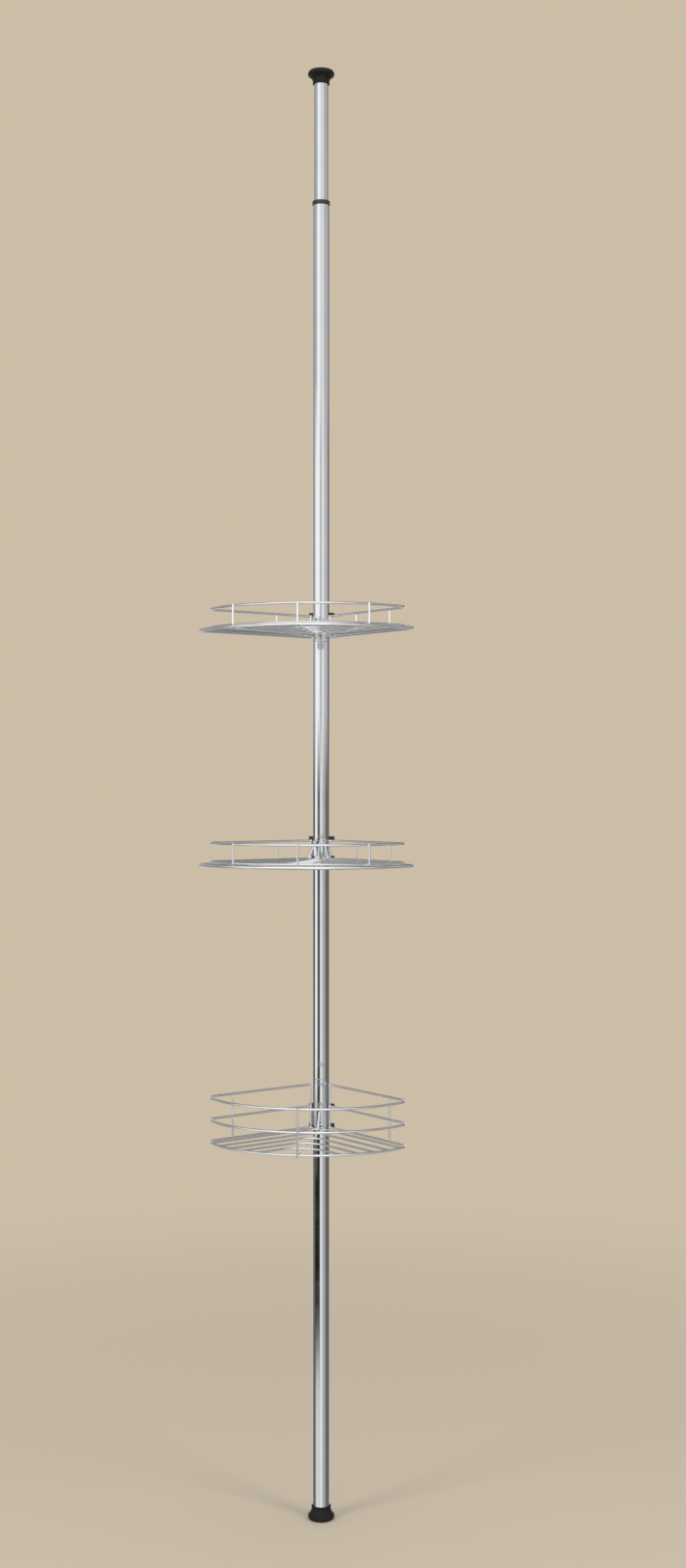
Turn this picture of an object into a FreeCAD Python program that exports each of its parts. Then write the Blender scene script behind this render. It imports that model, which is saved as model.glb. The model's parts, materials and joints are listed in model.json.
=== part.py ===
"""Tension pole shelf unit: a sprung corner pole with two wire trays and a wire basket.

Millimetres, +Z up. The origin is on the pole's axis at the floor. The two walls of the
corner stand behind the pole, at 45 degrees to the X axis, and the shelves open towards -Y.
"""

import FreeCAD, Part
import math
import os

# --- Driving sizes -------------------------------------------------------------------

# Tubes
pole_diameter = 25.4
pole_wall = 0.9
stem_diameter = 22.2
stem_wall = 0.9
section_length = 660.4
section_count = 3
stem_showing = 176.9
stem_insertion = 340.0

# Rubber ends
pad_height = 20.4
pad_diameter = 40.0
pad_face_diameter = 36.0
pad_flange_height = 8.0
pad_edge_round = 3.0
pad_floor = 4.0
foot_neck_diameter = 29.4
cap_neck_diameter = 25.6
plug_flange = 2.0
plug_length = 24.0

# Couplers and guide bushing
coupler_length = 90.0
coupler_wall = 1.3
coupler_bead = 1.0
coupler_bead_proud = 0.4
bushing_rim_height = 6.5
bushing_rim_proud = 0.7
bushing_length = 45.0

# Height lock and tension spring
tension_travel = 45.0
lock_sleeve_length = 34.0
lock_sleeve_slit = 2.0
cam_radius = 7.6
cam_offset = 0.5
cam_flange = 4.0
cam_flange_diameter = 22.0
lock_washer = 2.0
lock_washer_diameter = 20.0
lock_screw_diameter = 5.0
lock_screw_length = 14.0
lock_screw_head_diameter = 9.0
lock_screw_head_height = 3.5
rod_diameter = 6.0
rod_grip = 14.0
rod_head_diameter = 12.0
rod_head_height = 5.0
spring_wire = 1.8
spring_diameter = 19.0
spring_length = 150.0
spring_turns = 18
spring_stop_length = 14.0

# Heights of the floor wires above the floor of the room
top_floor_height = 1339.1
middle_floor_height = 1000.1
bottom_floor_height = 593.9

# Heights of the rails above their own floor wires
tray_rail_height = 27.2
basket_mid_rail_height = 32.0
basket_top_rail_height = 64.5

# Plan of a basket: outer faces of its wires
front_centre = 60.0
basket_front_radius = 168.7
basket_corner_radius = 21.0
rim_front_radius = 184.5
rim_corner_radius = 14.0
wall_side_offset = 6.4

# Wires
rim_wire = 4.8
rail_wire = 3.5
frame_wire = 3.4
floor_wire = 3.0
upright_wire = 3.0
support_wire = 3.8
support_bend = 7.0
first_vee_inset = 11.0
vee_pitch = 24.7
vee_least_bend = 22.0
vee_bend_share = 0.44
front_upright_angle = 35.0
wall_upright_places = [77.0, 156.0]
basket_wall_upright_place = 156.0

# Collar and clamp
collar_diameter = 30.8
collar_wall = 1.0
collar_rise = 4.0
collar_height = 23.5
clamp_wall = 1.25
clamp_gap = 0.8
ear_reach = 20.5
ear_width = 10.0
ear_height = 5.6
ear_turn = 20.0

# Clearances
press_clearance = 0.05
running_clearance = 0.08
seat_clearance = 0.3
weld_sink = 0.12
support_sink = 0.26
end_sink = 0.05
seam_sink = 0.02

# --- Worked out from the driving sizes -------------------------------------------------

root_half = math.sqrt(0.5)
pole_radius = pole_diameter / 2
pole_bore = pole_radius - pole_wall
stem_radius = stem_diameter / 2
stem_bore = stem_radius - stem_wall
pad_radius = pad_diameter / 2

tube_start = pad_floor + plug_flange
section_pitch = section_length + coupler_bead
pole_top = tube_start + section_count * section_pitch - coupler_bead
bushing_top = pole_top + bushing_rim_height
cap_lip = bushing_top + stem_showing
unit_height = cap_lip + pad_height
stem_top = unit_height - pad_floor - plug_flange
stem_bottom = pole_top - stem_insertion

cam_top = stem_bottom - tension_travel - 10 * seat_clearance
cam_flange_bottom = cam_top - cam_flange
lock_sleeve_top = cam_flange_bottom - seat_clearance
lock_sleeve_bottom = lock_sleeve_top - lock_sleeve_length
cam_bottom = lock_sleeve_bottom - seat_clearance
spring_bottom = cam_top + seat_clearance
spring_top = spring_bottom + spring_length
spring_stop_bottom = spring_top + seat_clearance
spring_stop_top = spring_stop_bottom + spring_stop_length
rod_head_bottom = spring_stop_top + seat_clearance

collar_radius = collar_diameter / 2
collar_bore = collar_radius - collar_wall
clamp_bore = pole_radius + running_clearance
clamp_radius = clamp_bore + clamp_wall

AXIS = FreeCAD.Vector(0, 0, 1)


# --- Building blocks -------------------------------------------------------------------


def point(x, y, z):
    return FreeCAD.Vector(x, y, z)


def rod(radius, bottom, top, x=0.0, y=0.0):
    """Upright cylinder between two heights."""
    return Part.makeCylinder(radius, top - bottom, point(x, y, bottom))


def ring(outer, inner, bottom, top):
    """Upright round sleeve on the pole's axis."""
    return rod(outer, bottom, top).cut(rod(inner, bottom - 1, top + 1))


def turned(profile):
    """Solid turned about the pole's axis from edges drawn in the XZ plane."""
    face = Part.Face(Part.Wire(profile))
    return face.revolve(point(0, 0, 0), AXIS, 360)


def line(start, end):
    return Part.LineSegment(start, end).toShape()


def arc(start, middle, end):
    return Part.Arc(start, middle, end).toShape()


def straight_wire(start, end, radius):
    run = end.sub(start)
    return Part.makeCylinder(radius, run.Length, start, run)


def bent_wire(start, centre, axis, angle, radius):
    """Round wire that follows a circular arc from start, turning about centre."""
    arm = start.sub(centre)
    run = axis.cross(arm)
    section = Part.Face(Part.Wire(Part.makeCircle(radius, start, run)))
    return section.revolve(centre, axis, angle)


def joined(pieces):
    """One solid from pieces of wire that meet end to end."""
    return pieces[0].multiFuse(pieces[1:]).removeSplitter()


def largest(shape):
    return max(shape.Solids, key=lambda solid: solid.Volume)


def wall_point(side, along, out, z):
    """Point on a wall side: side is -1 left or 1 right, out is towards that wall."""
    x = side * root_half * (along + out)
    y = root_half * (out - along)
    return point(x, y, z)


# --- Outline of a basket ---------------------------------------------------------------


class Outline:
    """Centre line of a wire bent to a basket's plan, given by the plan's outer faces."""

    def __init__(self, front_face, corner_face, wire):
        self.radius = wire / 2
        self.front = front_face - self.radius
        self.corner = corner_face - self.radius
        self.out = wall_side_offset - self.radius
        centre_part = front_centre * root_half
        reach = self.front - self.corner
        across = self.out - self.corner + centre_part
        self.along = centre_part + math.sqrt(reach ** 2 - across ** 2)

    def corner_centre(self, side, z):
        return wall_point(side, self.along, self.out - self.corner, z)

    def centre(self, z):
        return point(0, -front_centre, z)

    def corner_end(self, side, z):
        """Where the corner's arc runs into the front arc."""
        arm = self.corner_centre(side, z).sub(self.centre(z))
        return self.centre(z).add(arm.multiply(self.front / (self.front - self.corner)))

    def corner_middle(self, side, z):
        centre = self.corner_centre(side, z)
        to_wall = wall_point(side, self.along, self.out, z).sub(centre)
        to_front = self.corner_end(side, z).sub(centre)
        middle = to_wall.add(to_front)
        middle.normalize()
        return centre.add(middle.multiply(self.corner))

    def front_middle(self, z):
        return point(0, -front_centre - self.front, z)

    def wire(self, start_along, z):
        """The bent wire itself, open at the pole."""
        pieces = []
        turn = self.corner_end(1, z).sub(self.centre(z))
        front_angle = 2 * math.degrees(math.atan2(turn.x, -turn.y))
        corner_angle = 135.0 - front_angle / 2
        for side in (-1, 1):
            wall_start = wall_point(side, start_along, self.out, z)
            wall_end = wall_point(side, self.along, self.out, z)
            pieces.append(straight_wire(wall_start, wall_end, self.radius))
            corner_centre = self.corner_centre(side, z)
            pieces.append(bent_wire(wall_end, corner_centre, AXIS, -side * corner_angle, self.radius))
        front_start = self.corner_end(-1, z)
        pieces.append(bent_wire(front_start, self.centre(z), AXIS, front_angle, self.radius))
        return joined(pieces)

    def centre_line(self, z):
        """Right half of the wire's centre line, from the pole to the front's middle."""
        wall_start = point(0, self.out / root_half, z)
        wall_end = wall_point(1, self.along, self.out, z)
        edges = [
            line(wall_start, wall_end),
            arc(wall_end, self.corner_middle(1, z), self.corner_end(1, z)),
            arc(self.corner_end(1, z), self.front_quarter(z), self.front_middle(z)),
        ]
        return Part.Wire(edges)

    def front_quarter(self, z):
        half = self.corner_end(1, z).sub(self.centre(z))
        half = half.add(self.front_middle(z).sub(self.centre(z)))
        half.normalize()
        return self.centre(z).add(half.multiply(self.front))


rim_outline = Outline(rim_front_radius, rim_corner_radius, rim_wire)
rail_outline = Outline(basket_front_radius, basket_corner_radius, rail_wire)
floor_outline = Outline(basket_front_radius, basket_corner_radius, frame_wire)

riser_distance = collar_radius + upright_wire / 2 - seam_sink
riser_out = wall_side_offset - rim_wire / 2
riser_along = math.sqrt(riser_distance ** 2 - riser_out ** 2)
wire_start = riser_along + upright_wire / 2 - end_sink


# --- Pole ------------------------------------------------------------------------------


def rubber_pad(neck_diameter, tube_radius):
    """Bell-shaped rubber end that stands on its face, with a blind hole for the tube."""
    neck = neck_diameter / 2
    face = pad_face_diameter / 2
    hole = tube_radius + press_clearance
    edge_top = pad_flange_height
    waist = point(neck + (pad_radius - neck) * 0.22, 0, (edge_top + pad_height) / 2)
    profile = [
        line(point(0, 0, 0), point(face, 0, 0)),
        arc(
            point(face, 0, 0),
            point(pad_radius - pad_edge_round * 0.15, 0, pad_edge_round * 0.8),
            point(pad_radius, 0, pad_edge_round * 1.6),
        ),
        line(point(pad_radius, 0, pad_edge_round * 1.6), point(pad_radius - 1, 0, edge_top)),
        arc(point(pad_radius - 1, 0, edge_top), waist, point(neck, 0, pad_height - 1)),
        line(point(neck, 0, pad_height - 1), point(neck - 0.6, 0, pad_height)),
        line(point(neck - 0.6, 0, pad_height), point(hole, 0, pad_height)),
        line(point(hole, 0, pad_height), point(hole, 0, pad_floor)),
        line(point(hole, 0, pad_floor), point(0, 0, pad_floor)),
        line(point(0, 0, pad_floor), point(0, 0, 0)),
    ]
    return turned(profile)


def tube_plug(tube_radius, bore_radius):
    """Cup-shaped plug that closes a tube's end, with its flange below the tube."""
    flange = rod(tube_radius, pad_floor, tube_start)
    body_radius = bore_radius - press_clearance
    body = rod(body_radius, tube_start, tube_start + plug_length)
    hollow = rod(body_radius - plug_flange, tube_start, tube_start + plug_length + 1)
    return flange.fuse(body.cut(hollow)).removeSplitter()


def turned_over(shape):
    """The same end piece, upside down at the ceiling."""
    over = shape.copy()
    over.rotate(point(0, 0, 0), point(1, 0, 0), 180)
    over.translate(point(0, 0, unit_height))
    return over


def outer_tube(index):
    bottom = tube_start + index * section_pitch
    return ring(pole_radius, pole_bore, bottom, bottom + section_length)


def coupler(index):
    """Sleeve inside the joint above tube number index, with a bead between the tubes."""
    bead_bottom = tube_start + (index + 1) * section_pitch - coupler_bead
    middle = bead_bottom + coupler_bead / 2
    outer = pole_bore - press_clearance
    sleeve = ring(outer, outer - coupler_wall, middle - coupler_length / 2, middle + coupler_length / 2)
    bead = ring(pole_radius - coupler_bead_proud, outer - coupler_wall, bead_bottom, bead_bottom + coupler_bead)
    return sleeve.fuse(bead).removeSplitter()


def guide_bushing():
    """Lining of the outer tube's mouth, with the rim that the top tube comes out of."""
    bore = stem_radius + running_clearance
    lining = ring(pole_bore - press_clearance, bore, pole_top - bushing_length, pole_top)
    rim = ring(pole_radius + bushing_rim_proud, bore, pole_top, bushing_top)
    edges = [edge for edge in rim.Edges if abs(edge.BoundBox.XMax - pole_radius - bushing_rim_proud) < 0.01]
    circles = [edge for edge in edges if edge.BoundBox.ZLength < 0.01]
    return lining.fuse(rim.makeFillet(bushing_rim_proud, circles)).removeSplitter()


# --- Height lock, spring and top tube ----------------------------------------------------


def lock_sleeve():
    """Split sleeve that the cam spreads against the tube's bore."""
    outer = pole_bore - seat_clearance
    inner = cam_radius + cam_offset + seat_clearance
    sleeve = ring(outer, inner, lock_sleeve_bottom, lock_sleeve_top)
    slit = Part.makeBox(
        2 * pole_radius,
        lock_sleeve_slit,
        lock_sleeve_length + 2,
        point(0, -lock_sleeve_slit / 2, lock_sleeve_bottom - 1),
    )
    return sleeve.cut(slit)


def lock_cam():
    """Off-centre cam under a round flange, with holes for the rod and the screw."""
    cam = rod(cam_radius, cam_bottom, cam_flange_bottom, cam_offset, 0)
    flange = rod(cam_flange_diameter / 2, cam_flange_bottom, cam_top)
    rod_hole = rod(rod_diameter / 2 + press_clearance, cam_top - rod_grip, cam_top + 1)
    screw_hole_top = cam_bottom + lock_screw_length + seat_clearance
    screw_hole = rod(lock_screw_diameter / 2 + press_clearance, cam_bottom - 1, screw_hole_top)
    return cam.fuse(flange).cut(rod_hole).cut(screw_hole).removeSplitter()


def lock_screw():
    """Screw and captive washer under the lock sleeve."""
    washer_bottom = cam_bottom - lock_washer
    washer = rod(lock_washer_diameter / 2, washer_bottom, cam_bottom)
    shank = rod(lock_screw_diameter / 2, washer_bottom, cam_bottom + lock_screw_length)
    head = rod(lock_screw_head_diameter / 2, washer_bottom - lock_screw_head_height, washer_bottom)
    return washer.multiFuse([shank, head]).removeSplitter()


def tension_rod():
    shank = rod(rod_diameter / 2, cam_top - rod_grip, rod_head_bottom)
    head = rod(rod_head_diameter / 2, rod_head_bottom, rod_head_bottom + rod_head_height)
    return shank.fuse(head).removeSplitter()


def tension_spring():
    """Open coil spring between the cam's flange and the spring stop."""
    wire_radius = spring_wire / 2
    coil_radius = spring_diameter / 2 - wire_radius
    rise = spring_length - spring_wire
    helix = Part.makeHelix(rise / spring_turns, rise, coil_radius)
    section = Part.Wire(Part.makeCircle(wire_radius, point(coil_radius, 0, 0), point(0, 1, 0)))
    coil = Part.Wire(helix.Edges).makePipeShell([section], True, True)
    coil.translate(point(0, 0, spring_bottom + wire_radius))
    return coil


def spring_stop():
    return ring(
        stem_bore - press_clearance,
        rod_diameter / 2 + seat_clearance,
        spring_stop_bottom,
        spring_stop_top,
    )


# --- Shelves ---------------------------------------------------------------------------


def clamp_half(side, floor_height):
    """Half of the sleeve that grips the pole, with a finger ear above and below the collar."""
    body_bottom = floor_height + collar_rise
    body_top = body_bottom + collar_height
    ear_play = seat_clearance
    low = body_bottom - ear_play - ear_height
    high = body_top + ear_play + ear_height
    body = ring(clamp_radius, clamp_bore, body_bottom, body_top)
    column = ring(clamp_radius, clamp_bore, low, high)
    column = column.common(ear_block(side, low, high, ear_reach))
    lower_ear = ear_block(side, low, low + ear_height, ear_reach)
    upper_ear = ear_block(side, high - ear_height, high, ear_reach)
    bore = rod(clamp_bore, low - 1, high + 1)
    ears = lower_ear.fuse(upper_ear).cut(bore)
    half = half_space(side, low, high)
    return body.common(half).multiFuse([column, ears]).removeSplitter()


def ear_block(side, bottom, top, reach):
    """Radial block of the ear's width, rounded at its tip."""
    block = Part.makeBox(
        reach - ear_width / 2,
        ear_width,
        top - bottom,
        point(0, -ear_width / 2, bottom),
    )
    tip = rod(ear_width / 2, bottom, top, reach - ear_width / 2, 0)
    block = block.fuse(tip).removeSplitter()
    turn = ear_turn
    if side < 0:
        turn = 180.0 - ear_turn
    block.rotate(point(0, 0, 0), AXIS, turn)
    return block


def half_space(side, bottom, top):
    """Block on one side of the split between the two clamp halves."""
    size = 2 * clamp_radius
    start = clamp_gap / 2
    if side < 0:
        start = -clamp_gap / 2 - size
    return Part.makeBox(size, 2 * size, top - bottom, point(start, -size, bottom))


def shelf_collar(floor_height):
    bottom = floor_height + collar_rise
    return ring(collar_radius, collar_bore, bottom, bottom + collar_height)


def vee_bend(inset):
    """Radius of a V's rounded point, larger towards the front."""
    return max(vee_least_bend, vee_bend_share * inset)


def vee_fits(outline, inset):
    """Whether a V's point ends a pitch or more inside the front."""
    bend_end = wall_point(1, inset + vee_bend(inset), -inset, 0)
    return bend_end.sub(outline.centre(0)).Length < outline.front - vee_pitch


def vee_wire(outline, inset, z):
    """V-shaped wire along both wall sides, with a rounded point towards the pole."""
    bend = vee_bend(inset)
    radius = floor_wire / 2
    bend_centre = point(0, -(inset + bend) / root_half, z)
    left_bend = wall_point(-1, inset + bend, -inset, z)
    right_bend = wall_point(1, inset + bend, -inset, z)
    beyond = wall_point(1, outline.along + outline.front, -inset, z)
    right_end = line(right_bend, beyond).section(outline.centre_line(z)).Vertexes[0].Point
    left_end = point(-right_end.x, right_end.y, z)
    return joined([
        straight_wire(left_end, left_bend, radius),
        bent_wire(left_bend, bend_centre, AXIS, -90, radius),
        straight_wire(right_bend, right_end, radius),
    ])


def floor_wires(outline, floor_height):
    """Nested V-shaped wires, butted against the floor's outline wire."""
    frame = outline.wire(wire_start, floor_height)
    wires = []
    inset = first_vee_inset
    while vee_fits(outline, inset):
        wires.append(largest(vee_wire(outline, inset, floor_height).cut(frame)))
        inset += vee_pitch
    return wires


def support(angle, support_height, front):
    """Radial wire under the floor, bent up against the collar."""
    radius = support_wire / 2
    leg_distance = collar_radius + radius - seam_sink
    bend_distance = leg_distance + support_bend
    top = support_height + collar_rise + collar_height
    end = point(0, -front, support_height)
    bend_start = point(0, -bend_distance, support_height)
    bend_centre = point(0, -bend_distance, support_height + support_bend)
    leg_start = point(0, -leg_distance, support_height + support_bend)
    pieces = [
        straight_wire(end, bend_start, radius),
        bent_wire(bend_start, bend_centre, point(1, 0, 0), 90, radius),
        straight_wire(leg_start, point(0, -leg_distance, top), radius),
    ]
    wire = joined(pieces)
    wire.rotate(point(0, 0, 0), AXIS, angle)
    return wire


def front_upright(angle, bottom, top):
    """Upright against the outside of the front, at an angle about the front's centre."""
    distance = basket_front_radius + upright_wire / 2 - weld_sink
    x = distance * math.sin(math.radians(angle))
    y = -front_centre - distance * math.cos(math.radians(angle))
    return rod(upright_wire / 2, bottom, top, x, y)


def wall_upright(side, along, bottom, top):
    place = wall_point(side, along, wall_side_offset + upright_wire / 2 - weld_sink, 0)
    return rod(upright_wire / 2, bottom, top, place.x, place.y)


def riser(side, bottom, top):
    """Upright welded to the collar, which the wall-side wires end on."""
    place = wall_point(side, riser_along, riser_out, 0)
    return rod(upright_wire / 2, bottom, top, place.x, place.y)


def ray_to_front(x, y, radius):
    """Distance from the pole's axis to a front arc, along the ray through (x, y)."""
    length = math.hypot(x, y)
    toward = -y / length
    half = front_centre * toward
    return half + math.sqrt(half ** 2 + radius ** 2 - front_centre ** 2)


def tray(name, floor_height):
    """Shallow tray: floor on three supports, heavy outer rim, one guard rail."""
    rail = floor_height + tray_rail_height
    rim = floor_height - (frame_wire + rim_wire) / 2 + seam_sink
    under = floor_height - (frame_wire + support_wire) / 2 + support_sink
    rim_inside = rim_outline.front - rim_wire / 2 + weld_sink
    supports = []
    uprights = []
    foot = under + support_wire / 2 - end_sink
    rail_top = rail + rail_wire / 2
    for angle in (-front_upright_angle, 0.0, front_upright_angle):
        upright = front_upright(angle, foot, rail_top)
        place = upright.CenterOfMass
        turn = math.degrees(math.atan2(place.x, -place.y))
        reach = ray_to_front(place.x, place.y, rim_inside)
        supports.append(support(turn, under, reach))
        uprights.append(upright)
    for side in (-1, 1):
        for along in wall_upright_places:
            uprights.append(wall_upright(side, along, rim - rim_wire / 4, rail_top))
        uprights.append(riser(side, rim - rim_wire / 2, rail_top))
    return {
        name + "_outer_rim": rim_outline.wire(wire_start, rim),
        name + "_floor_frame": floor_outline.wire(wire_start, floor_height),
        name + "_floor_wires": Part.makeCompound(floor_wires(floor_outline, floor_height)),
        name + "_supports": Part.makeCompound(supports),
        name + "_guard_rail": rail_outline.wire(wire_start, rail),
        name + "_uprights": Part.makeCompound(uprights),
    }


def basket(name, floor_height):
    """Deeper basket: floor on one support, a middle rail and a top rail."""
    middle = floor_height + basket_mid_rail_height
    top = floor_height + basket_top_rail_height
    under = floor_height - (rail_wire + support_wire) / 2 + support_sink
    reach = front_centre + basket_front_radius
    foot = floor_height - rail_wire / 2
    rail_top = top + rail_wire / 2
    uprights = [front_upright(0.0, foot, rail_top)]
    for side in (-1, 1):
        uprights.append(wall_upright(side, basket_wall_upright_place, foot, rail_top))
        uprights.append(riser(side, foot, rail_top))
    return {
        name + "_floor_frame": rail_outline.wire(wire_start, floor_height),
        name + "_floor_wires": Part.makeCompound(floor_wires(rail_outline, floor_height)),
        name + "_supports": support(0.0, under, reach),
        name + "_mid_rail": rail_outline.wire(wire_start, middle),
        name + "_guard_rail": rail_outline.wire(wire_start, top),
        name + "_uprights": Part.makeCompound(uprights),
    }


# --- Assembly --------------------------------------------------------------------------

parts = {
    "foot_pad": rubber_pad(foot_neck_diameter, pole_radius),
    "foot_plug": tube_plug(pole_radius, pole_bore),
    "lower_tube": outer_tube(0),
    "lower_coupler": coupler(0),
    "middle_tube": outer_tube(1),
    "upper_coupler": coupler(1),
    "upper_tube": outer_tube(2),
    "guide_bushing": guide_bushing(),
    "lock_sleeve": lock_sleeve(),
    "lock_cam": lock_cam(),
    "lock_screw": lock_screw(),
    "tension_rod": tension_rod(),
    "tension_spring": tension_spring(),
    "spring_stop": spring_stop(),
    "stem_tube": ring(stem_radius, stem_bore, stem_bottom, stem_top),
    "ceiling_plug": turned_over(tube_plug(stem_radius, stem_bore)),
    "ceiling_pad": turned_over(rubber_pad(cap_neck_diameter, stem_radius)),
}

floor_heights = {
    "top": top_floor_height,
    "middle": middle_floor_height,
    "bottom": bottom_floor_height,
}

for shelf_name, shelf_height in floor_heights.items():
    parts[shelf_name + "_clamp_left"] = clamp_half(-1, shelf_height)
    parts[shelf_name + "_clamp_right"] = clamp_half(1, shelf_height)
    parts[shelf_name + "_collar"] = shelf_collar(shelf_height)

parts.update(tray("top", top_floor_height))
parts.update(tray("middle", middle_floor_height))
parts.update(basket("bottom", bottom_floor_height))

os.makedirs("parts", exist_ok=True)
for node_name, shape in parts.items():
    shape.exportStep("parts/" + node_name + ".step")
    print(node_name, len(shape.Solids), round(shape.Volume, 1), shape.isValid())
print("height", round(unit_height, 2))
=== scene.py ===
# %% [markdown]
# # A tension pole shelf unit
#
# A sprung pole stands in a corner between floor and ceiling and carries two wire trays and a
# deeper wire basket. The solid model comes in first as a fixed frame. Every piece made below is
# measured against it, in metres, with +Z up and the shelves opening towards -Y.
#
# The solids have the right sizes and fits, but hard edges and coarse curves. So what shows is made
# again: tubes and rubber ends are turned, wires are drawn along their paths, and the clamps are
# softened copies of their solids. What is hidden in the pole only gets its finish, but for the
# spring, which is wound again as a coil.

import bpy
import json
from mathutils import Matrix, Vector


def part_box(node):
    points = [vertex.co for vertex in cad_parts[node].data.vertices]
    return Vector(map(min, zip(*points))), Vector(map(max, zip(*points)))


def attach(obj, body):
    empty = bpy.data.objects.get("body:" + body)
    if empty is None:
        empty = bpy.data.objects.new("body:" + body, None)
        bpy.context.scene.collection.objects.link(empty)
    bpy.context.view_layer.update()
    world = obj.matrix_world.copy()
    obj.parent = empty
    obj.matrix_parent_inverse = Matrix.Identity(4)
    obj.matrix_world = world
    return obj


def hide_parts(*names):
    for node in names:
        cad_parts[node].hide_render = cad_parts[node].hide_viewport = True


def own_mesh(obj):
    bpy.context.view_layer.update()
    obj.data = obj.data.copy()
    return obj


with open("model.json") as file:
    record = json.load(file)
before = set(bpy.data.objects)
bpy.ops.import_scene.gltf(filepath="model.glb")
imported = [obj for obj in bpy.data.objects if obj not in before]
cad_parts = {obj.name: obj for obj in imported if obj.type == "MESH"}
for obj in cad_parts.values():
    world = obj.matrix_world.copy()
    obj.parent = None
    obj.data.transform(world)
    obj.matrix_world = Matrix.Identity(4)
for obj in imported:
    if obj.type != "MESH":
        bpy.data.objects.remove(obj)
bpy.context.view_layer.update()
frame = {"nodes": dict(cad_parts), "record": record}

import json
import math

import bmesh
import bpy
from mathutils import Matrix, Vector
from mathutils.geometry import intersect_line_line_2d

# %% [markdown]
# ## Turning a bmesh into a finished piece
#
# Each piece is drawn in millimetres in a bmesh, Blender's mesh in memory, and then becomes an
# object at the origin, in metres, with its place in its vertices. One helper does this every
# time. Points within a thousandth of a millimetre are merged, faces point outwards and the surface
# is smooth between its real edges. The shading is weighted by the size of the faces: without that,
# a tube's long faces would be shaded by the narrow ones on its rounded rim, and what they reflect
# would lean.

# %% Finish a piece
MILLIMETRE = 0.001
MERGE_DISTANCE = 0.001
SHARP_EDGE = math.radians(35)


def finish_piece(name, mesh, finish, body, stands_for=()):
    bmesh.ops.remove_doubles(mesh, verts=mesh.verts, dist=MERGE_DISTANCE)
    bmesh.ops.recalc_face_normals(mesh, faces=mesh.faces)
    for face in mesh.faces:
        face.smooth = True
    for edge in mesh.edges:
        edge.smooth = len(edge.link_faces) == 2 and edge.calc_face_angle() < SHARP_EDGE
    bmesh.ops.scale(mesh, vec=(MILLIMETRE,) * 3, verts=mesh.verts)
    data = bpy.data.meshes.new(name)
    mesh.to_mesh(data)
    mesh.free()
    data.materials.append(finish)
    piece = bpy.data.objects.new(name, data)
    bpy.context.scene.collection.objects.link(piece)
    shading = piece.modifiers.new("even_shading", "WEIGHTED_NORMAL")
    shading.keep_sharp = True
    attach(piece, body)
    if stands_for:
        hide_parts(*stands_for)
    print(name, "has", len(data.polygons), "faces")
    return piece


# %% [markdown]
# ## Finishes
#
# Bright chrome is a mirror, so nearly all of its look is what it reflects. What makes it real is
# a very slight waviness left by polishing and a roughness that changes from place to place. An
# image could be wrapped round each piece for that, but noise needs no unwrapping. It is read in
# object coordinates, so it stays put when the piece moves.

# %% A material and its noise


def new_material(name):
    material = bpy.data.materials.new(name)
    material.use_nodes = True
    nodes = material.node_tree.nodes
    return material, nodes, material.node_tree.links, nodes["Principled BSDF"]


def noise_on_object(nodes, links, scale, detail=3.0, stretch=(1, 1, 1)):
    """Noise in object coordinates: small features for a large scale."""
    place = nodes.new("ShaderNodeTexCoord")
    mapping = nodes.new("ShaderNodeMapping")
    mapping.inputs["Scale"].default_value = stretch
    noise = nodes.new("ShaderNodeTexNoise")
    noise.inputs["Scale"].default_value = scale
    noise.inputs["Detail"].default_value = detail
    links.new(place.outputs["Object"], mapping.inputs["Vector"])
    links.new(mapping.outputs["Vector"], noise.inputs["Vector"])
    return noise


# %% [markdown]
# A noise can move a number on the shader, its colour between two near shades, or the surface
# itself, by way of a bump. Most of its values lie near the middle, so only the range from
# NOISE_LOW to NOISE_HIGH is used, and spread over the whole of what it moves.

# %% What a noise moves
NOISE_LOW = 0.3
NOISE_HIGH = 0.7


def vary(nodes, links, noise, socket, low, high):
    """The noise moves a number on the shader between low and high."""
    spread = nodes.new("ShaderNodeMapRange")
    spread.inputs["From Min"].default_value = NOISE_LOW
    spread.inputs["From Max"].default_value = NOISE_HIGH
    spread.inputs["To Min"].default_value = low
    spread.inputs["To Max"].default_value = high
    links.new(noise.outputs["Fac"], spread.inputs["Value"])
    links.new(spread.outputs["Result"], socket)


def tint(nodes, links, noise, socket, dark, light):
    """The noise moves a colour on the shader between two near shades."""
    ramp = nodes.new("ShaderNodeValToRGB")
    for stop, position, colour in zip(
        ramp.color_ramp.elements, (NOISE_LOW, NOISE_HIGH), (dark, light)
    ):
        stop.position = position
        stop.color = (*colour, 1)
    links.new(noise.outputs["Fac"], ramp.inputs["Fac"])
    links.new(ramp.outputs["Color"], socket)


def relief(nodes, links, noise, shader, height, strength=0.5):
    """The noise raises the surface by up to height, in metres."""
    bump = nodes.new("ShaderNodeBump")
    bump.inputs["Strength"].default_value = strength
    bump.inputs["Distance"].default_value = height
    links.new(noise.outputs["Fac"], bump.inputs["Height"])
    links.new(bump.outputs["Normal"], shader.inputs["Normal"])


# %% [markdown]
# Tube and wire carry the same plate, each with its own numbers. A tube is polished lengthways, so
# its waves are drawn out along it, and the waves on a wire are even. A coat over the metal could
# give the gloss too, but it would add a second, weaker reflection that plated steel doesn't have.
# The wire's plate is also made much lighter than the tube's. This is a painted highlight: it stands
# in for the shine that the lamps, hidden from glossy rays, would give the thin wires.

# %% Chrome plate
PLATE_SMUDGE = (0.94, 0.95, 0.97)
PLATE_ROUGHNESS = (0.05, 0.10)


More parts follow.
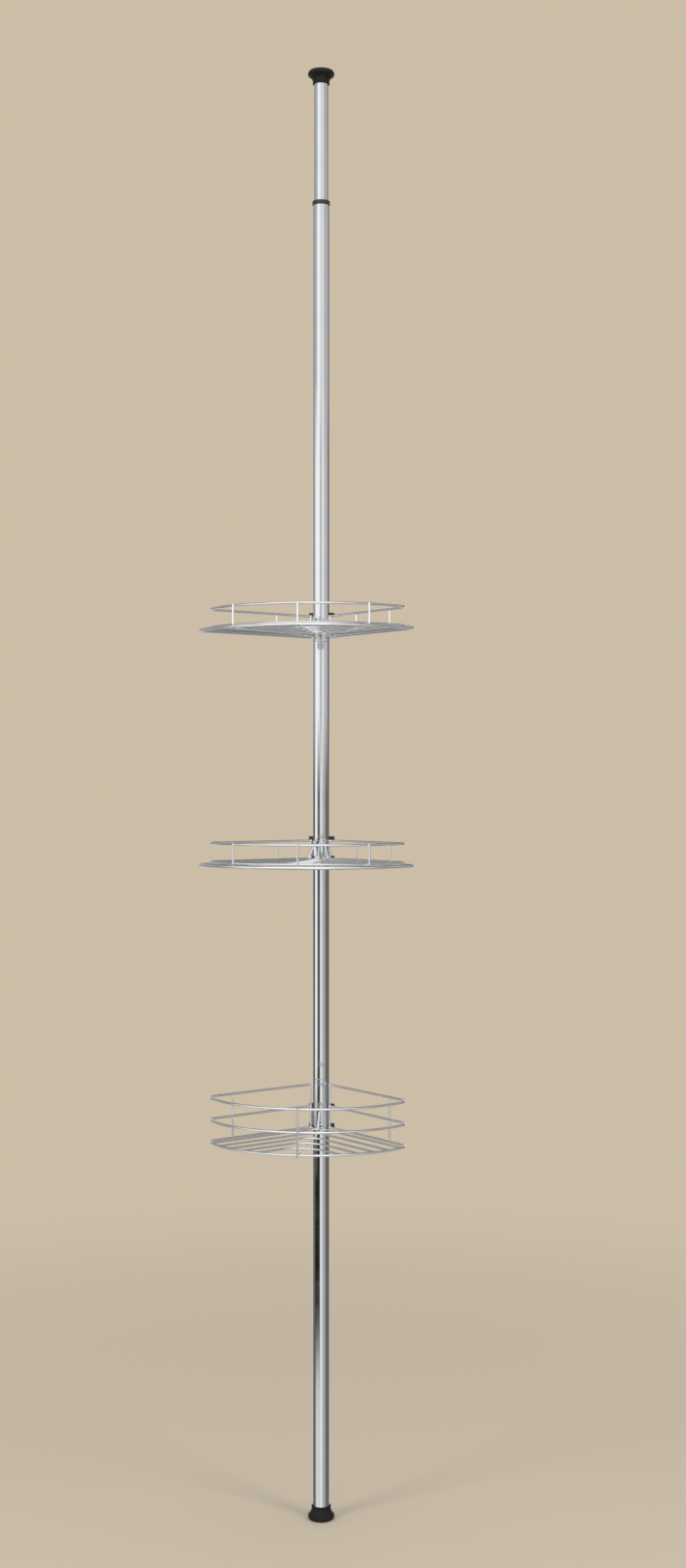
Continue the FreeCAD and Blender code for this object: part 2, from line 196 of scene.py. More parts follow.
def chrome_plate(name, brightness, smudge_scale, wave_scale, wave_stretch, wave_height):
    material, nodes, links, shader = new_material(name)
    shader.inputs["Metallic"].default_value = 1.0
    smudges = noise_on_object(nodes, links, smudge_scale, detail=5.0)
    vary(nodes, links, smudges, shader.inputs["Roughness"], *PLATE_ROUGHNESS)
    dull = [brightness * part for part in PLATE_SMUDGE]
    tint(nodes, links, smudges, shader.inputs["Base Color"], dull, (brightness,) * 3)
    waves = noise_on_object(nodes, links, wave_scale, detail=2.0, stretch=wave_stretch)
    relief(nodes, links, waves, shader, wave_height, strength=0.6)
    return material


tube_chrome = chrome_plate(
    "tube_chrome",
    brightness=0.58,
    smudge_scale=34.0,
    wave_scale=60.0,
    wave_stretch=(1, 1, 0.05),
    wave_height=0.000006,
)
wire_chrome_painted_highlight = chrome_plate(
    "wire_chrome_painted_highlight",
    # Painted highlight: the wire's plate is lighter than the tube's, in place of lamp shine.
    brightness=0.86,
    smudge_scale=60.0,
    wave_scale=240.0,
    wave_stretch=(1, 1, 1),
    wave_height=0.000008,
)
print("plated finishes:", tube_chrome.name, "and", wire_chrome_painted_highlight.name)

# %% [markdown]
# The clamps are moulded in black plastic with the fine spark-eroded grain that such moulds have.
# The plugs and the lock inside the pole are the same plastic in its pale, undyed colour. Grain is
# a bump of very small noise: modelled grain would need millions of faces for the same look.

# %% Moulded plastic
PLASTIC_ROUGHNESS_SPREAD = 0.06
GRAIN_HEIGHT = 0.00004


def moulded_plastic(name, dark, light, roughness):
    material, nodes, links, shader = new_material(name)
    cloud = noise_on_object(nodes, links, scale=90.0)
    tint(nodes, links, cloud, shader.inputs["Base Color"], dark, light)
    least, most = roughness - PLASTIC_ROUGHNESS_SPREAD, roughness + PLASTIC_ROUGHNESS_SPREAD
    vary(nodes, links, cloud, shader.inputs["Roughness"], least, most)
    grain = noise_on_object(nodes, links, scale=2600.0)
    relief(nodes, links, grain, shader, GRAIN_HEIGHT)
    return material


clamp_plastic = moulded_plastic(
    "clamp_plastic", (0.012, 0.012, 0.013), (0.024, 0.024, 0.025), roughness=0.42
)
plug_plastic = moulded_plastic(
    "plug_plastic", (0.46, 0.46, 0.47), (0.56, 0.56, 0.57), roughness=0.45
)
print("plastic finishes:", clamp_plastic.name, "and", plug_plastic.name)

# %% [markdown]
# The ends of the pole wear a duller, softer black rubber. It shines less than plastic, so its
# specular level is low, and it picks up dust unevenly, so its noise is broad and has more detail.

# %% Rubber
RUBBER_SPECULAR = 0.22
RUBBER_CLEAN = (0.005, 0.005, 0.005)
RUBBER_DUSTY = (0.016, 0.0155, 0.015)
RUBBER_ROUGHNESS = (0.42, 0.66)
RUBBER_SKIN_HEIGHT = 0.00006


def black_rubber(name):
    material, nodes, links, shader = new_material(name)
    shader.inputs["Specular IOR Level"].default_value = RUBBER_SPECULAR
    dust = noise_on_object(nodes, links, scale=70.0, detail=6.0)
    tint(nodes, links, dust, shader.inputs["Base Color"], RUBBER_CLEAN, RUBBER_DUSTY)
    vary(nodes, links, dust, shader.inputs["Roughness"], *RUBBER_ROUGHNESS)
    skin = noise_on_object(nodes, links, scale=1500.0)
    relief(nodes, links, skin, shader, RUBBER_SKIN_HEIGHT)
    return material


pad_rubber = black_rubber("pad_rubber")
print("rubber finish:", pad_rubber.name)

# %% [markdown]
# The hidden steel is not plated. The rod, screw and couplers keep the fine lines of drawing along
# them, which a noise gives when it is stretched along Z. The spring's wire is the same, but darker.

# %% Drawn steel
STEEL_ROUGHNESS = (0.26, 0.44)
DRAWN_ALONG = (1, 1, 0.04)
LINE_HEIGHT = 0.00002


def drawn_steel(name, dark, light):
    material, nodes, links, shader = new_material(name)
    shader.inputs["Metallic"].default_value = 1.0
    lines = noise_on_object(nodes, links, scale=420.0, detail=4.0, stretch=DRAWN_ALONG)
    tint(nodes, links, lines, shader.inputs["Base Color"], dark, light)
    vary(nodes, links, lines, shader.inputs["Roughness"], *STEEL_ROUGHNESS)
    relief(nodes, links, lines, shader, LINE_HEIGHT)
    return material


plain_steel = drawn_steel("plain_steel", (0.44, 0.45, 0.46), (0.60, 0.61, 0.62))
spring_steel = drawn_steel("spring_steel", (0.26, 0.26, 0.27), (0.38, 0.38, 0.39))
print("steel finishes:", plain_steel.name, "and", spring_steel.name)

# %% [markdown]
# Every solid is dressed, also the hidden ones, because the unit can be taken apart. The solid
# model names a material slot for each of its pieces, and the finish follows from the slot. Tubes
# and wires share the slot of chrome, so the round pieces get their own plate by name.

# %% Dress the solid pieces
FINISH_OF_SLOT = {
    "chrome": wire_chrome_painted_highlight,
    "rubber": pad_rubber,
    "black_plastic": clamp_plastic,
    "plug_plastic": plug_plastic,
    "plain_steel": plain_steel,
    "spring_steel": spring_steel,
}
slot_of_node = {part["node"]: part["material_slot"] for part in frame["record"]["subparts"]}
for node, solid in frame["nodes"].items():
    finish = FINISH_OF_SLOT[slot_of_node[node]]
    if node.endswith(("tube", "collar")):
        finish = tube_chrome
    solid.data.materials.clear()
    solid.data.materials.append(finish)
print("dressed", len(frame["nodes"]), "solid pieces")

# %% [markdown]
# ## Turned pieces
#
# Tubes, collars and the rubber ends are all round, so each is a profile turned about the pole's
# axis. A cylinder with a bevel modifier would do for a tube, but not for the bells. A real edge
# is never knife sharp, so the profile's corners are cut back first, each by its own reach, and
# bridged with a short curve that catches the light.

# %% Round a profile's corners
CORNER_STEPS = 4


def rounded(corners):
    """Curve round each (radius, height, reach) corner of a profile, but for a reach of 0."""
    places = [Vector((radius, 0, height)) for radius, height, reach in corners]
    points = []
    for index, place in enumerate(places):
        reach = corners[index][2]
        if reach == 0:
            points.append(place)
            continue
        start = place + reach * (places[index - 1] - place).normalized()
        end = place + reach * (places[(index + 1) % len(places)] - place).normalized()
        for step in range(CORNER_STEPS + 1):
            share = step / CORNER_STEPS
            points.append(start.lerp(place, share).lerp(place.lerp(end, share), share))
    return points


# %% [markdown]
# A full spin merges its last ring with its first, so the turned piece has no seam. A sleeve's
# profile is closed, like a washer's section. A solid piece's profile starts and ends on the axis,
# where its points come together in one when the doubles are merged.

# %% Turn a profile
TURN_STEPS = 96
FULL_TURN = 2 * math.pi


def turn_profile(points, closed):
    """A bmesh turned about the pole's axis."""
    mesh = bmesh.new()
    verts = [mesh.verts.new(point) for point in points]
    edges = [mesh.edges.new(pair) for pair in zip(verts, verts[1:])]
    if closed:
        edges.append(mesh.edges.new((verts[-1], verts[0])))
    bmesh.ops.spin(
        mesh,
        geom=verts + edges,
        cent=(0, 0, 0),
        axis=(0, 0, 1),
        angle=FULL_TURN,
        steps=TURN_STEPS,
        use_merge=True,
    )
    return mesh


# %% [markdown]
# The tubes are 0.9 mm thick with edges dulled by the cutter, and each shelf's collar is a short
# piece of a wider tube. They are turned again here, in 96 steps, because a mirror finish shows
# every facet of a coarser cylinder. Each takes its size from the box of its solid, so the two
# always agree.

# %% Tubes and collars
TUBE_WALL = 0.9
COLLAR_WALL = 1.0
TUBE_EDGE = 0.3
COLLAR_EDGE = 0.45
SHELVES = ("top", "middle", "bottom")


def box_in_millimetres(node):
    low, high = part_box(node)
    return Vector(low) / MILLIMETRE, Vector(high) / MILLIMETRE


def turned_sleeve(node, wall, edge_reach, body):
    """A round chrome sleeve with soft edges, as large as the node it stands for."""
    low, high = box_in_millimetres(node)
    outer, inner = high.x, high.x - wall
    corners = [
        (outer, low.z, edge_reach),
        (outer, high.z, edge_reach),
        (inner, high.z, edge_reach),
        (inner, low.z, edge_reach),
    ]
    mesh = turn_profile(rounded(corners), closed=True)
    return finish_piece(node + "_turned", mesh, tube_chrome, body, [node])


for section in ("lower", "middle", "upper"):
    turned_sleeve(section + "_tube", TUBE_WALL, TUBE_EDGE, "pole")
turned_sleeve("stem_tube", TUBE_WALL, TUBE_EDGE, "stem")
for shelf in SHELVES:
    turned_sleeve(shelf + "_collar", COLLAR_WALL, COLLAR_EDGE, shelf + "_shelf")

# %% [markdown]
# The rubber ends are bells: a broad flange, a waist that sweeps in, and a lip round the tube.
# Grooves run round the face that grips the floor or the ceiling. They could be cut from a cup
# afterwards, but as corners of the profile they cost nothing and stay clean.

# %% Profile of a bell
PAD_FACE = 18.0
PAD_FLANGE = 7.2
PAD_FLOOR = 4.2
PAD_LIP = 0.9
GROOVE_PLACES = (5.0, 9.0, 13.0)
GROOVE_WIDTH = 1.6
GROOVE_DEPTH = 0.8
CREASE = 0.2
BELL_STEP = 1.2
WAIST_SHARE = 0.54


def bell_corners(radius, height, neck, bore):
    """Corners with the face down, from the axis outwards, up the bell and down the bore."""
    corners = [(0, 0, 0)]
    for place in GROOVE_PLACES:
        corners.append((place, 0, CREASE))
        corners.append((place + CREASE, GROOVE_DEPTH, CREASE))
        corners.append((place + GROOVE_WIDTH - CREASE, GROOVE_DEPTH, CREASE))
        corners.append((place + GROOVE_WIDTH, 0, CREASE))
    return corners + [
        (PAD_FACE, 0, 0.6),
        (radius, PAD_FLOOR * 0.6, 1.6),
        (radius, PAD_FLANGE - 1, 0.6),
        (radius - BELL_STEP, PAD_FLANGE, 0.7),
        (neck + BELL_STEP, height * WAIST_SHARE, 3.0),
        (neck, height - 3 * PAD_LIP, 0.5),
        (neck + PAD_LIP / 2, height - 2 * PAD_LIP, 0.4),
        (neck + PAD_LIP / 2, height - 0.5, 0.4),
        (neck - 0.4, height, 0.3),
        (bore, height, CREASE),
        (bore, PAD_FLOOR, CREASE),
        (0, PAD_FLOOR, 0),
    ]


# %% [markdown]
# The ceiling's bell is the same profile turned over, with a narrower neck for the thinner tube.

# %% Rubber ends
FIT = 0.05
FOOT_NECK = 14.3
CAP_NECK = 12.4
HALF_TURN = math.pi


def rubber_end(node, neck, tube_node, body, at_ceiling):
    low, high = box_in_millimetres(node)
    bore = box_in_millimetres(tube_node)[1].x + FIT
    mesh = turn_profile(rounded(bell_corners(high.x, high.z - low.z, neck, bore)), closed=False)
    if at_ceiling:
        flip = Matrix.Rotation(HALF_TURN, 3, "X")
        bmesh.ops.rotate(mesh, verts=mesh.verts, cent=(0, 0, 0), matrix=flip)
        bmesh.ops.translate(mesh, verts=mesh.verts, vec=(0, 0, high.z))
    return finish_piece(node + "_bell", mesh, pad_rubber, body, [node])


rubber_end("foot_pad", FOOT_NECK, "lower_tube", "pole", at_ceiling=False)
rubber_end("ceiling_pad", CAP_NECK, "stem_tube", "stem", at_ceiling=True)

# %% [markdown]
# ## Tension spring
#
# Inside the pole an open coil pushes the top tube up. Its lower end stands on the lock and its
# upper end follows the tube; here the whole coil rides with the lock, at its full length. A screw
# modifier could wind it, but a spin with a small rise at each step does the same in one call, and
# leaves a mesh whose open end can be closed.

# %% Coil
SPRING_WIRE = 1.8
SPRING_TURNS = 18
SPRING_SIDES = 12
STEPS_PER_TURN = 36
QUARTER_TURN = math.pi / 2


def only(kind, geometry):
    return [element for element in geometry if isinstance(element, kind)]


def coil_spring(node, body):
    low, high = box_in_millimetres(node)
    radius = SPRING_WIRE / 2
    steps = SPRING_TURNS * STEPS_PER_TURN
    start = Matrix.Translation((high.x - radius, 0, low.z + radius))
    mesh = bmesh.new()
    section = bmesh.ops.create_circle(
        mesh,
        segments=SPRING_SIDES,
        radius=radius,
        cap_ends=True,
        matrix=start @ Matrix.Rotation(QUARTER_TURN, 4, "X"),
    )
    edges = list({edge for vert in section["verts"] for edge in vert.link_edges})
    wound = bmesh.ops.spin(
        mesh,
        geom=section["verts"] + edges,
        cent=(0, 0, 0),
        axis=(0, 0, 1),
        dvec=(0, 0, (high.z - low.z - SPRING_WIRE) / steps),
        angle=FULL_TURN * SPRING_TURNS,
        steps=steps,
        use_merge=False,
    )
    bmesh.ops.contextual_create(mesh, geom=only(bmesh.types.BMEdge, wound["geom_last"]))
    coil = finish_piece(node + "_coil", mesh, spring_steel, body, [node])
    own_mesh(coil)


coil_spring("tension_spring", "lock_core")

# %% [markdown]
# ## Wires
#
# Every wire of the shelves is round, bent in one plane, and cut by shears that leave a flat end
# with a soft edge. A curve with a bevel would give the round wire, but not the soft end. So a
# circle is drawn along the path by extruding its edges, and the first and last few rings are
# smaller, which rounds the edge.

# %% Rings of a sheared end
SHEARED_EDGE = 0.45
EDGE_STEPS = 3


def sheared_end(radius):
    """Insets and ring radii of a wire's end, from the full wire out to its flat face."""
    rings = []
    for step in range(EDGE_STEPS + 1):
        angle = QUARTER_TURN * step / EDGE_STEPS
        inset = SHEARED_EDGE * (1 - math.sin(angle))
        rings.append((inset, radius - SHEARED_EDGE * (1 - math.cos(angle))))
    return rings


print("rings of a 3 mm wire's end:", [[round(v, 2) for v in ring] for ring in sheared_end(1.5)])

# %% [markdown]
# A ring stands square to the wire's run, and where the path bends, square to the mean of the runs
# before and after. A wire in one plane needs no more to keep it from twisting: the plane's normal
# is one axis of every ring.

# %% Lay a wire
WIRE_SIDES = 16


def ring_matrix(place, run, across, size):
    """Sets a circle of radius one square to the run, at its place and size."""
    axes = Matrix((run.cross(across), across, -run)).transposed()
    return Matrix.Translation(place) @ axes.to_4x4() @ Matrix.Scale(size, 4)


def lay_wire(mesh, path, radius, across):
    """Round wire along a path that lies in the plane with the normal across."""
    runs = [(after - before).normalized() for before, after in zip(path, path[1:])]
    ends = sheared_end(radius)
    stations = [(path[0] + runs[0] * inset, runs[0], size) for inset, size in reversed(ends)]
    for place, before, after in zip(path[1:-1], runs, runs[1:]):
        stations.append((place, (before + after).normalized(), radius))
    stations += [(path[-1] - runs[-1] * inset, runs[-1], size) for inset, size in ends]
    matrices = [ring_matrix(place, run, across, size) for place, run, size in stations]
    circle = bmesh.ops.create_circle(
        mesh, cap_ends=True, segments=WIRE_SIDES, radius=1, matrix=matrices[0]
    )
    edges = list({edge for vert in circle["verts"] for edge in vert.link_edges})
    for before, after in zip(matrices, matrices[1:]):
        drawn = bmesh.ops.extrude_edge_only(mesh, edges=edges)["geom"]
        edges = only(bmesh.types.BMEdge, drawn)
        verts = only(bmesh.types.BMVert, drawn)
        bmesh.ops.transform(mesh, matrix=after @ before.inverted(), verts=verts)
    bmesh.ops.contextual_create(mesh, geom=edges)


def plated_wires(shelf, part, wires):
    """One piece from (path, radius, across) wires, standing for a node of the shelf."""
    mesh = bmesh.new()
    for path, radius, across in wires:
        lay_wire(mesh, path, radius, across)
    node = shelf + "_" + part
    return finish_piece(node + "_wire", mesh, wire_chrome_painted_highlight, shelf + "_shelf", [node])


# %% [markdown]
# ## Rims, frames and rails
#
# The baskets' outline has two straight sides along the walls, a tight corner at each end and one
# long curve for the front. It is bent from straight lengths and arcs, as the wire is, because a
# free curve would never quite be round. The corner's circle touches the front's from inside, which
# fixes how far out along the wall it stands.

# %% Outline of a basket
UP = Vector((0, 0, 1))
ROOT_HALF = math.sqrt(0.5)
FRONT_CENTRE = 60.0
WALL_OFFSET = 6.4
FRONT_STEPS = 56
CORNER_BEND_STEPS = 14


def bend(start, centre, degrees, steps, axis=UP):
    """Points on a bend, from start, turned about centre."""
    arm = start - centre
    return [
        centre + Matrix.Rotation(math.radians(degrees) * step / steps, 3, axis) @ arm
        for step in range(steps + 1)
    ]


def wall_point(side, along, out, z):
    """Side is -1 left or 1 right: along runs from the pole along that wall, out towards it."""
    return Vector((side * ROOT_HALF * (along + out), ROOT_HALF * (out - along), z))


def outline_path(node, corner_face, start_along):
    """Centre line of the outline wire that a node holds, from the left riser to the right one."""
    low, high = box_in_millimetres(node)
    z = (low.z + high.z) / 2
    radius = (high.z - low.z) / 2
    front = -low.y - FRONT_CENTRE - radius
    corner = corner_face - radius
    out = WALL_OFFSET - radius
    middle = FRONT_CENTRE * ROOT_HALF
    along = middle + math.sqrt((front - corner) ** 2 - (out - corner + middle) ** 2)
    front_centre = Vector((0, -FRONT_CENTRE, z))
    left_centre, right_centre = (wall_point(side, along, out - corner, z) for side in (-1, 1))
    arm = right_centre - front_centre
    half_front = math.degrees(math.atan2(arm.x, -arm.y))
    corner_turn = 135 - half_front
    left = bend(wall_point(-1, along, out, z), left_centre, corner_turn, CORNER_BEND_STEPS)
    front_arc = bend(left[-1], front_centre, 2 * half_front, FRONT_STEPS)
    right = bend(front_arc[-1], right_centre, corner_turn, CORNER_BEND_STEPS)
    ends = [wall_point(side, start_along, out, z) for side in (-1, 1)]
    return [ends[0], *left, *front_arc[1:-1], *right, ends[1]], radius


# %% [markdown]
# The trays have a heavy rim round the outside, a frame for their floor and one rail. The basket
# has a frame and two rails. All of them end on the two risers beside the collar, and are sunk in
# a little, as a weld is, so that no gap shows.

# %% Outline wires
UPRIGHT_RADIUS = 1.5
SEAM = 0.02
RAIL_CORNER = 21.0
RIM_CORNER = 14.0
OUTLINE_PARTS = {
    "top": ("outer_rim", "floor_frame", "guard_rail"),
    "middle": ("outer_rim", "floor_frame", "guard_rail"),
    "bottom": ("floor_frame", "mid_rail", "guard_rail"),
}
collar_radius = box_in_millimetres("top_collar")[1].x
rim_low, rim_high = box_in_millimetres("top_outer_rim")
riser_out = WALL_OFFSET - (rim_high.z - rim_low.z) / 2
riser_along = math.sqrt((collar_radius + UPRIGHT_RADIUS - SEAM) ** 2 - riser_out ** 2)
print("each riser stands", round(riser_along, 2), "mm along its wall")

floor_paths = {}
for shelf in SHELVES:
    for part in OUTLINE_PARTS[shelf]:
        corner = RIM_CORNER if part == "outer_rim" else RAIL_CORNER
        path, radius = outline_path(shelf + "_" + part, corner, riser_along + UPRIGHT_RADIUS)
        plated_wires(shelf, part, [(path, radius, UP)])
        if part == "floor_frame":
            floor_paths[shelf] = path

# %% [markdown]
# ## Floors
#
# The floor is a nest of V-shaped wires, each parallel to the walls, with points that get rounder
# towards the front. Each leg runs until it meets the outline, found by crossing the two lines. So
# the legs always reach the frame, where lengths measured by hand would leave gaps.

# %% Floor wires
FLOOR_RADIUS = 1.5
FIRST_INSET = 11.0
INSET_PITCH = 24.7
LEAST_BEND = 22.0
BEND_SHARE = 0.44
VEE_COUNT = 5
VEE_STEPS = 20
PAST_THE_FRAME = 2 * FRONT_CENTRE + 200


def first_meeting(path, start, beyond):
    """Where the straight line from start to beyond first crosses a path."""
    for before, after in zip(path, path[1:]):
        meeting = intersect_line_line_2d(start.xy, beyond.xy, before.xy, after.xy)
        if meeting:
            return Vector((*meeting, start.z))


def vee_path(outline, inset):
    z = outline[0].z
    radius = max(LEAST_BEND, BEND_SHARE * inset)
    centre = Vector((0, -(inset + radius) / ROOT_HALF, z))
    left_bend, right_bend = (wall_point(side, inset + radius, -inset, z) for side in (-1, 1))
    right_end = first_meeting(outline, right_bend, wall_point(1, PAST_THE_FRAME, -inset, z))
    left_end = Vector((-right_end.x, right_end.y, z))
    return [left_end, *bend(left_bend, centre, -90, VEE_STEPS), right_end]


vee_paths = {}
for shelf in SHELVES:
    insets = [FIRST_INSET + INSET_PITCH * count for count in range(VEE_COUNT)]
    vee_paths[shelf] = [vee_path(floor_paths[shelf], inset) for inset in insets]
    plated_wires(shelf, "floor_wires", [(path, FLOOR_RADIUS, UP) for path in vee_paths[shelf]])

# %% [markdown]
# Supports carry the floor. They run out under it from the collar, where each turns up and is
# welded along its length. A tray has three, which fan out to its front uprights, and the basket
# has one. Their height comes from the solid's box, and their reach from the rim that they end on.

# %% Supports
SUPPORT_RADIUS = 1.9
SUPPORT_BEND = 7.0
SUPPORT_BEND_STEPS = 10
WELD_SINK = 0.12
FRONT_ANGLES = {"top": (-35.0, 0.0, 35.0), "middle": (-35.0, 0.0, 35.0), "bottom": (0.0,)}
leg_distance = collar_radius + SUPPORT_RADIUS - SEAM


def front_upright_place(degrees):
    """Plan of an upright against the front's outside, at an angle about the front's centre."""
    low = box_in_millimetres("bottom_guard_rail")[0]
    distance = -low.y - FRONT_CENTRE + UPRIGHT_RADIUS - WELD_SINK
    angle = math.radians(degrees)
    return Vector((distance * math.sin(angle), -FRONT_CENTRE - distance * math.cos(angle), 0))


def support_path(direction, reach, low, high):
    """From the front end inwards, then up the collar, towards a unit direction in plan."""
    z = low + SUPPORT_RADIUS
    bend_start = direction * (leg_distance + SUPPORT_BEND) + UP * z
    centre = bend_start + UP * SUPPORT_BEND
    rise = bend(bend_start, centre, 90, SUPPORT_BEND_STEPS, direction.cross(UP))
    return [direction * reach + UP * z, *rise, direction * leg_distance + UP * high]


def ray_to_front(direction, radius):
    """Distance from the pole's axis to a front curve of that radius."""
    half = -FRONT_CENTRE * direction.y
    return half + math.sqrt(half ** 2 + radius ** 2 - FRONT_CENTRE ** 2)


def support_reach(shelf, direction):
    """A tray's support ends in the heavy rim, and the basket's ends behind its upright."""
    if shelf == "bottom":
        return -box_in_millimetres("bottom_supports")[0].y - 2 * UPRIGHT_RADIUS
    low, high = box_in_millimetres(shelf + "_outer_rim")
    return ray_to_front(direction, -low.y - FRONT_CENTRE - (high.z - low.z) + WELD_SINK)


support_wires = {}
for shelf in SHELVES:
    low, high = box_in_millimetres(shelf + "_supports")
    support_wires[shelf] = []
    for degrees in FRONT_ANGLES[shelf]:
        direction = front_upright_place(degrees).normalized()
        path = support_path(direction, support_reach(shelf, direction), low.z, high.z)
        support_wires[shelf].append((path, SUPPORT_RADIUS, direction.cross(UP)))
    plated_wires(shelf, "supports", support_wires[shelf])

# %% [markdown]
# ## Uprights
#
# Uprights tie the rails to the floor: some against the outside of the front curve, some along
# the walls, and a riser on each side of the collar that all the wall-side wires end on. They are
# the same wire as the rails, so the helper that lays a wire makes them from two points.

# %% Uprights
WALL_UPRIGHT_PLACES = {"top": (77.0, 156.0), "middle": (77.0, 156.0), "bottom": (156.0,)}
ACROSS = Vector((1, 0, 0))


def upright_wire(place, low, high):
    foot = place.xy.to_3d()
    return ([foot + UP * low, foot + UP * high], UPRIGHT_RADIUS, ACROSS)


upright_places = {}
for shelf in SHELVES:
    top = box_in_millimetres(shelf + "_guard_rail")[1].z
    base, base_top = box_in_millimetres(shelf + "_" + OUTLINE_PARTS[shelf][0])
    front_foot = wall_foot = base.z
    if shelf != "bottom":
        front_foot = box_in_millimetres(shelf + "_supports")[0].z + 2 * SUPPORT_RADIUS
        wall_foot = base.z + (base_top.z - base.z) / 4
    wires = [
        upright_wire(front_upright_place(angle), front_foot, top) for angle in FRONT_ANGLES[shelf]
    ]
    for side in (-1, 1):
        for along in WALL_UPRIGHT_PLACES[shelf]:
            place = wall_point(side, along, WALL_OFFSET + UPRIGHT_RADIUS - WELD_SINK, 0)
            wires.append(upright_wire(place, wall_foot, top))
        wires.append(upright_wire(wall_point(side, riser_along, riser_out, 0), base.z, top))
    upright_places[shelf] = [path[0] for path, radius, across in wires]
    plated_wires(shelf, "uprights", wires)

# %% [markdown]
# ## Weld beads
#
# Spot welds squeeze a little metal out where two wires cross, and the plating rounds it off. So a
# small flattened ball sits at each crossing. Joining the wires with a boolean and rounding the
# seam would be truer, but slow, and at this size nobody could tell.

# %% Weld beads
BEAD_RADIUS = 1.5
BEAD_FLATNESS = 0.55
BEAD_SUBDIVISIONS = 2


def weld_bead(mesh, place, pressed):
    """Flattened bead, thin along the direction in which the two wires press together."""
    turn = pressed.to_track_quat("Z", "Y").to_matrix().to_4x4()
    flat = Matrix.Diagonal((1, 1, BEAD_FLATNESS, 1))
    matrix = Matrix.Translation(place) @ turn @ flat
    bmesh.ops.create_icosphere(
        mesh, subdivisions=BEAD_SUBDIVISIONS, radius=BEAD_RADIUS, matrix=matrix
    )


def rail_beads(mesh, shelf, part):
    """A bead wherever an upright crosses one of the thin outline wires."""
    low, high = box_in_millimetres(shelf + "_" + part)
    for place in upright_places[shelf]:
        plan = place.xy.to_3d()
        inwards = (Vector((0, -FRONT_CENTRE, 0)) - plan).normalized()
        weld_bead(mesh, plan + inwards * UPRIGHT_RADIUS + UP * (low.z + high.z) / 2, inwards)


def floor_beads(mesh, shelf):
    """A bead wherever a floor wire lies on a support."""
    for support, radius, across in support_wires[shelf]:
        for vee in vee_paths[shelf]:
            crossing = first_meeting(vee, support[1], support[0])
            if crossing:
                weld_bead(mesh, crossing - UP * FLOOR_RADIUS, UP)


for shelf in SHELVES:
    mesh = bmesh.new()
    for part in OUTLINE_PARTS[shelf]:
        if part != "outer_rim":
            rail_beads(mesh, shelf, part)
    floor_beads(mesh, shelf)
    finish_piece(shelf + "_weld_beads", mesh, wire_chrome_painted_highlight, shelf + "_shelf")

# %% [markdown]
# ## Clamps
#
# A moulded half can't have sharp edges, because plastic doesn't flow into them and fingers turn
# them. Its form, with ears, a seat for the collar and a split, is already right in its solid, so
# nothing is drawn anew. Each half starts as a copy of its solid, with the triangles on its flats
# joined again, and then every sharp edge is bevelled.

# %% Moulded clamp halves
MOULDED_EDGE = 0.4
MOULDED_EDGE_STEPS = 2
FLAT_ANGLE = math.radians(1)


def moulded_copy(node, body):
    mesh = bmesh.new()
    mesh.from_mesh(frame["nodes"][node].data)
    bmesh.ops.scale(mesh, vec=(1 / MILLIMETRE,) * 3, verts=mesh.verts)
    bmesh.ops.remove_doubles(mesh, verts=mesh.verts, dist=MERGE_DISTANCE)
    bmesh.ops.dissolve_limit(
        mesh, angle_limit=FLAT_ANGLE, verts=mesh.verts, edges=mesh.edges
    )
    sharp = [
        edge for edge in mesh.edges if edge.is_manifold and edge.calc_face_angle() > SHARP_EDGE
    ]
    bmesh.ops.bevel(
        mesh,
        geom=sharp,
        affect="EDGES",
        offset=MOULDED_EDGE,
        segments=MOULDED_EDGE_STEPS,
        profile=0.5,
        material=-1,
        clamp_overlap=True,
    )
    return finish_piece(node + "_moulded", mesh, clamp_plastic, body, [node])


for shelf in SHELVES:
    for side in ("left", "right"):
        moulded_copy(shelf + "_clamp_" + side, shelf + "_clamp")

# %% [markdown]
# ## Floor
#
# A plain pale floor takes the unit's shadow and has no horizon line: away from the foot it fades
# into a glow of the world's own colour. A curved backdrop would do it too, but it would show in
# other views. The floor is stage, not part of the unit, and chrome doesn't see it.

# %% Floor
BACKDROP = (0.60, 0.51, 0.385)
FLOOR_HALF_WIDTH = 30
FADE_START = 0.4
FADE_END = 2.2


def fading_floor(name):
    """Lit and shadowed near the origin, and the backdrop's plain colour far out."""
    material, nodes, links, near = new_material(name)
    near.inputs["Base Color"].default_value = (*BACKDROP, 1)
    near.inputs["Roughness"].default_value = 0.8
    far = nodes.new("ShaderNodeEmission")
    far.inputs["Color"].default_value = (*BACKDROP, 1)
    place = nodes.new("ShaderNodeTexCoord")
    distance = nodes.new("ShaderNodeVectorMath")
    distance.operation = "LENGTH"
    fade = nodes.new("ShaderNodeMapRange")
    fade.interpolation_type = "SMOOTHSTEP"
    fade.inputs["From Min"].default_value = FADE_START
    fade.inputs["From Max"].default_value = FADE_END
    blend = nodes.new("ShaderNodeMixShader")
    links.new(place.outputs["Object"], distance.inputs[0])
    links.new(distance.outputs["Value"], fade.inputs["Value"])
    links.new(fade.outputs["Result"], blend.inputs["Fac"])
    links.new(near.outputs["BSDF"], blend.inputs[1])
    links.new(far.outputs["Emission"], blend.inputs[2])
    links.new(blend.outputs["Shader"], nodes["Material Output"].inputs["Surface"])
    return material


def pale_floor():
    mesh = bmesh.new()
    bmesh.ops.create_grid(mesh, x_segments=1, y_segments=1, size=FLOOR_HALF_WIDTH)
    data = bpy.data.meshes.new("floor")
    mesh.to_mesh(data)
    mesh.free()
    data.materials.append(fading_floor("pale_floor"))
    floor = bpy.data.objects.new("floor", data)
    floor.visible_glossy = False
    bpy.context.scene.collection.objects.link(floor)
    print("floor", 2 * FLOOR_HALF_WIDTH, "m wide")


pale_floor()

